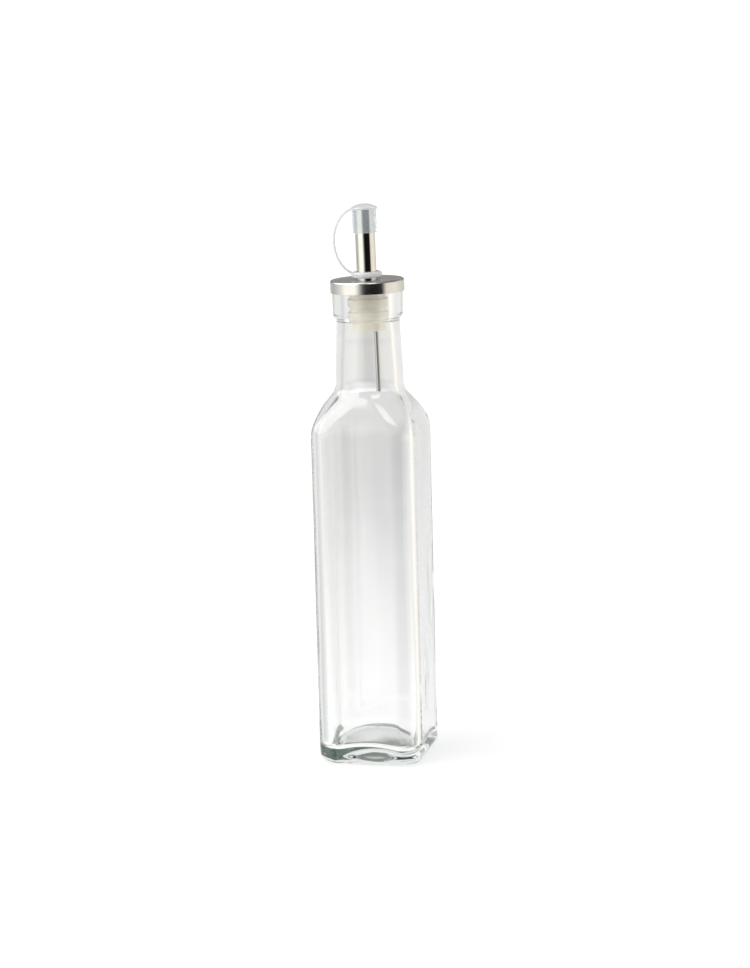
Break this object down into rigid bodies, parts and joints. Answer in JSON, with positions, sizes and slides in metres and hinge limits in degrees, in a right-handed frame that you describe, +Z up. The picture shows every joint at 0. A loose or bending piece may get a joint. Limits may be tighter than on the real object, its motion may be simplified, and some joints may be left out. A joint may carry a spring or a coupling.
{
  "type": "oil bottle with pourer",
  "caption": "Empty square clear glass oil bottle with a round neck, a steel collar and spout on a ribbed stopper, and a soft cap on a strap.",
  "frame": {"origin": "middle of the foot, on the plane the bottle stands on", "axes": "+Z up the bottle; the four flat sides face +X, -X, +Y and -Y; the camera side is -Y, and the cap's strap is towards -X"},
  "size_m": [0.047, 0.047, 0.2486],
  "materials": {
    "glass": "clear, faintly green, glossy",
    "collar_steel": "satin skirt, polished top",
    "stopper_plastic": "natural, milky",
    "spout_steel": "polished",
    "cap_plastic": "soft, clear with a slight haze",
    "vent_steel": "polished"
  },
  "bodies": {
    "root": {"glass_bottle": "glass", "metal_collar": "collar_steel", "stopper": "stopper_plastic", "spout_tube": "spout_steel", "spout_cap": "cap_plastic", "vent_tube": "vent_steel"}
  },
  "joints": []
}
